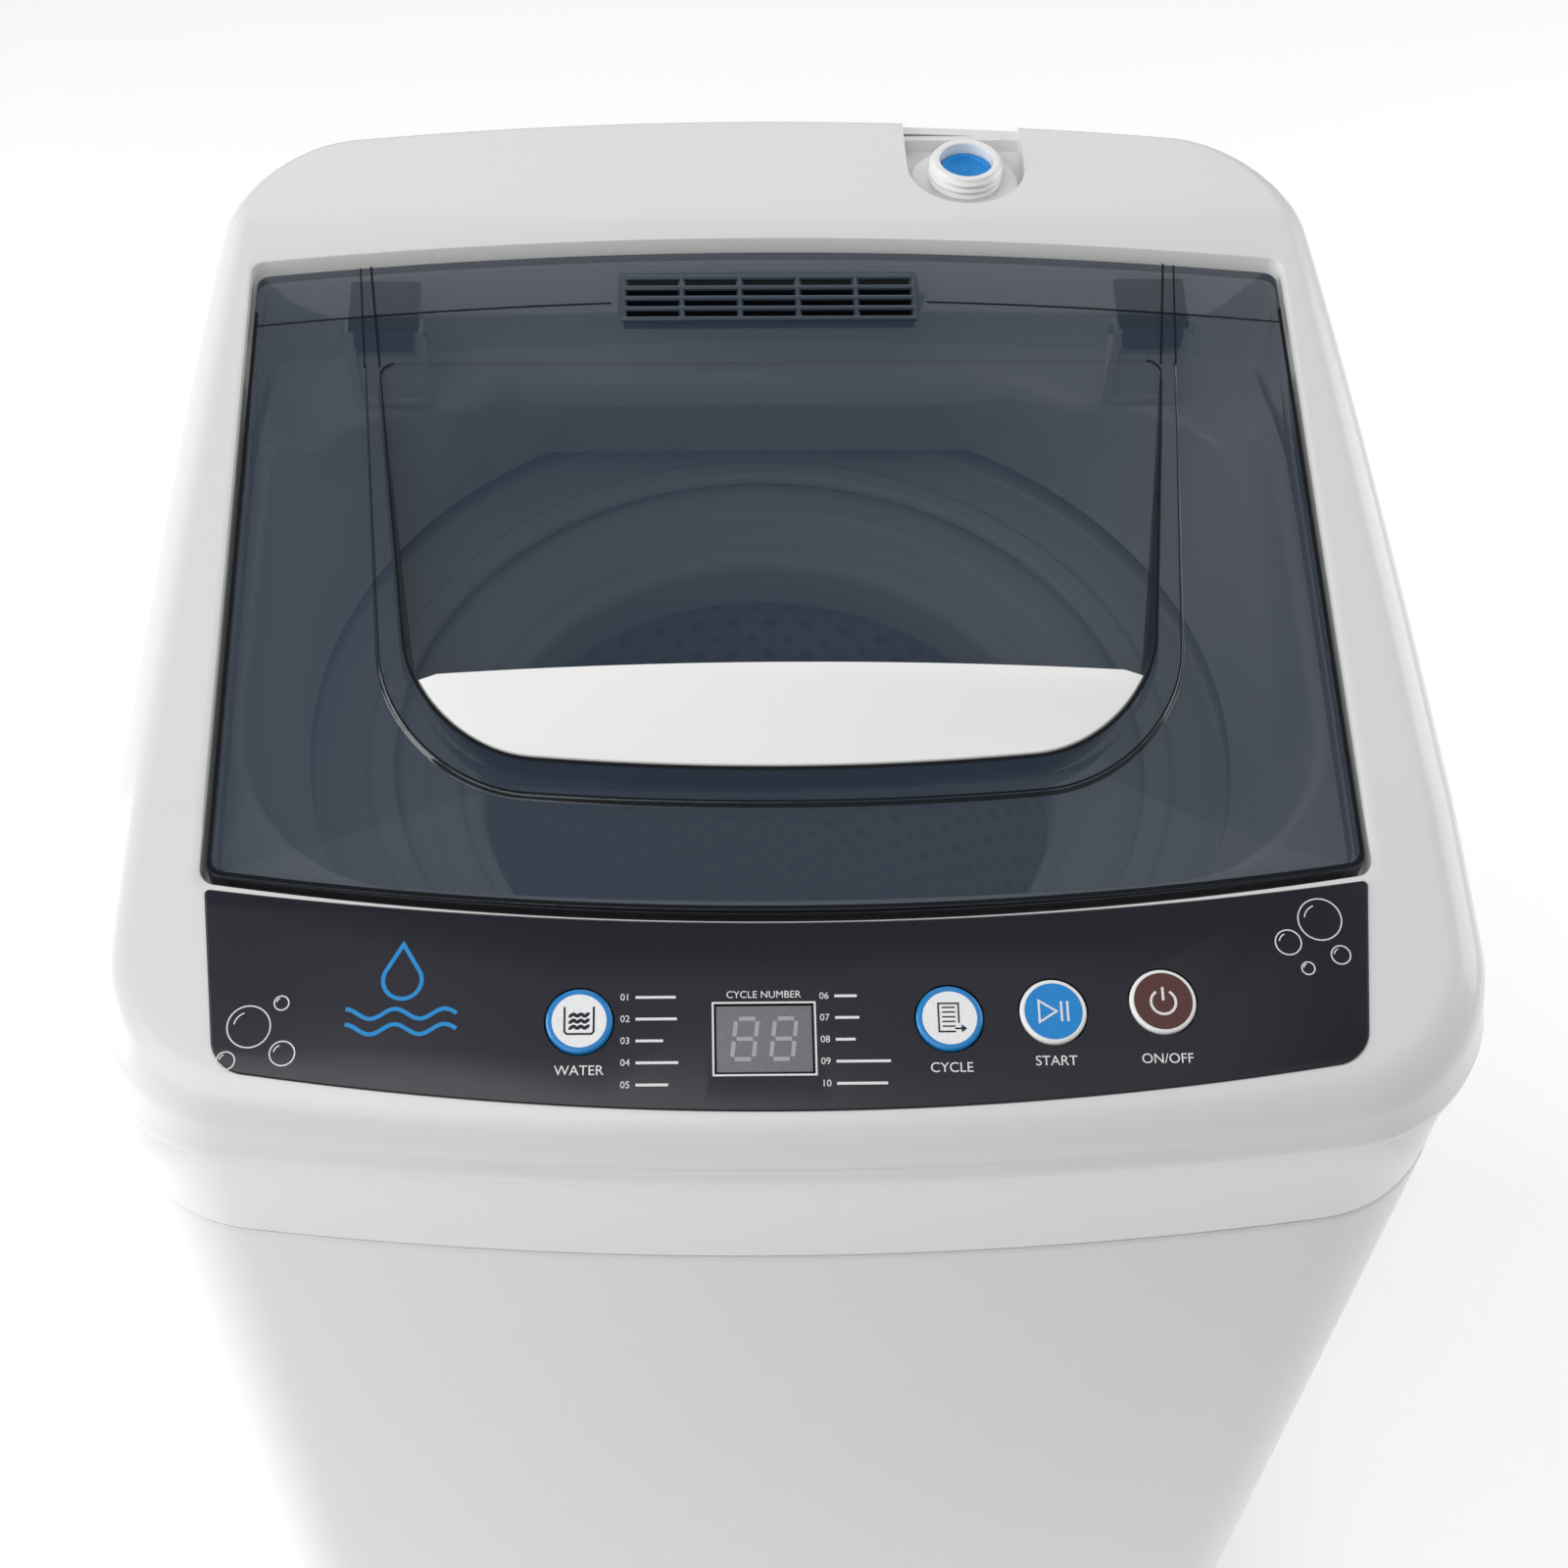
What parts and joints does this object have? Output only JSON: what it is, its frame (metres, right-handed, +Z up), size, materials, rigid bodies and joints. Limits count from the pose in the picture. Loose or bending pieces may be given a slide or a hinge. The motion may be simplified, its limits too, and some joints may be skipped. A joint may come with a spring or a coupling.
{
  "type": "top load washing machine",
  "caption": "Compact top load washing machine with a sloping smoked lid, fascia with push buttons, sprung tub, spin basket and pulsator.",
  "frame": {"origin": "on the floor, under the middle of the bounding box", "axes": "+Z up, front with the control panel towards -Y, +X to the right of someone facing the front"},
  "size_m": [0.423, 0.395, 0.7],
  "materials": {
    "white_shell": "smooth moulded",
    "white_part": "moulded",
    "smoked_plastic": "tinted, see-through",
    "panel_film": "charcoal film",
    "blue_plastic": "moulded",
    "brown_plastic": "moulded",
    "display_plastic": "grey window",
    "grey_plastic": "moulded",
    "black_plastic": "moulded",
    "board": "solder mask",
    "steel": "zinc plated",
    "cast_alloy": "as cast",
    "rubber": "moulded"
  },
  "bodies": {
    "body": {"cabinet": "white_shell", "base_frame": "grey_plastic", "foot_front_left": "rubber", "foot_rear_left": "rubber", "foot_rear_right": "rubber", "rear_cover": "white_part", "rear_screw_left": "steel", "rear_screw_right": "steel", "top_cover": "white_shell", "control_panel": "panel_film", "display_window": "display_plastic", "control_board": "board", "board_tray": "white_part", "inlet_valve": "white_part", "inlet_filter": "blue_plastic", "water_duct": "white_part", "suspension_frame": "steel", "suspension_rod_front_left": "steel", "suspension_rod_front_right": "steel", "suspension_rod_rear_left": "steel", "suspension_rod_rear_right": "steel", "suspension_spring_front_left": "steel", "suspension_spring_front_right": "steel", "suspension_spring_rear_left": "steel", "suspension_spring_rear_right": "steel", "cord_gland": "black_plastic", "drain_outlet": "grey_plastic", "level_sensor": "black_plastic", "lid_switch": "black_plastic", "hinge_bracket_left": "black_plastic", "hinge_bracket_right": "black_plastic", "hinge_pin_left": "steel", "hinge_pin_right": "steel"},
    "tub": {"outer_tub": "white_part", "tub_ring": "white_part", "tub_seal": "rubber", "drain_valve": "white_part", "drive_plate": "steel", "bearing_housing": "cast_alloy", "drive_motor": "cast_alloy", "drive_belt": "rubber"},
    "spin_basket": {"basket": "white_part", "balance_ring": "white_part", "basket_hub": "cast_alloy", "lint_filter": "blue_plastic"},
    "agitator": {"pulsator": "white_part", "pulsator_screw": "steel", "wash_shaft": "steel", "driven_pulley": "grey_plastic"},
    "motor_rotor": {"motor_shaft": "steel", "motor_pulley": "cast_alloy"},
    "lid": {"lid": "smoked_plastic", "lid_handle": "white_part", "hinge_arm_left": "black_plastic", "hinge_arm_right": "black_plastic"},
    "level_button": {"level_button": "white_part"},
    "program_button": {"program_button": "white_part"},
    "start_button": {"start_button": "blue_plastic"},
    "power_button": {"power_button": "brown_plastic"},
    "levelling_foot": {"levelling_foot": "rubber"}
  },
  "joints": [
    {"name": "lid_hinge", "type": "hinge", "parent": "body", "child": "lid", "pos_m": [0, 0.097, 0.68], "axis": [-1, 0, 0], "range_deg": [0, 98]},
    {"name": "tub_bounce", "type": "slide", "parent": "body", "child": "tub", "axis": [0, 0, 1], "range_m": [-0.015, 0.004], "stiffness_N_per_m": 8000, "springref_m": 0.012, "deforming": ["suspension_spring_front_left", "suspension_spring_front_right", "suspension_spring_rear_left", "suspension_spring_rear_right"]},
    {"name": "basket_spin", "type": "hinge", "parent": "tub", "child": "spin_basket", "pos_m": [0, 0, 0.215], "axis": [0, 0, 1], "continuous": true},
    {"name": "pulsator_spin", "type": "hinge", "parent": "tub", "child": "agitator", "pos_m": [0, 0, 0.22], "axis": [0, 0, 1], "continuous": true},
    {"name": "motor_spin", "type": "hinge", "parent": "tub", "child": "motor_rotor", "pos_m": [0.105, 0, 0.056], "axis": [0, 0, 1], "continuous": true},
    {"name": "level_press", "type": "slide", "parent": "body", "child": "level_button", "axis": [0, 0.2756, -0.9613], "range_m": [0, 0.001], "stiffness_N_per_m": 1500, "springref_m": -0.0012},
    {"name": "program_press", "type": "slide", "parent": "body", "child": "program_button", "axis": [0, 0.2756, -0.9613], "range_m": [0, 0.001], "stiffness_N_per_m": 1500, "springref_m": -0.0012},
    {"name": "start_press", "type": "slide", "parent": "body", "child": "start_button", "axis": [0, 0.2756, -0.9613], "range_m": [0, 0.001], "stiffness_N_per_m": 1500, "springref_m": -0.0012},
    {"name": "power_press", "type": "slide", "parent": "body", "child": "power_button", "axis": [0, 0.2756, -0.9613], "range_m": [0, 0.001], "stiffness_N_per_m": 1500, "springref_m": -0.0012},
    {"name": "foot_adjust", "type": "slide", "parent": "body", "child": "levelling_foot", "axis": [0, 0, 1], "range_m": [-0.008, 0]}
  ],
  "couplings": [
    {"joint": "motor_spin", "follows": "pulsator_spin", "ratio": 4}
  ]
}
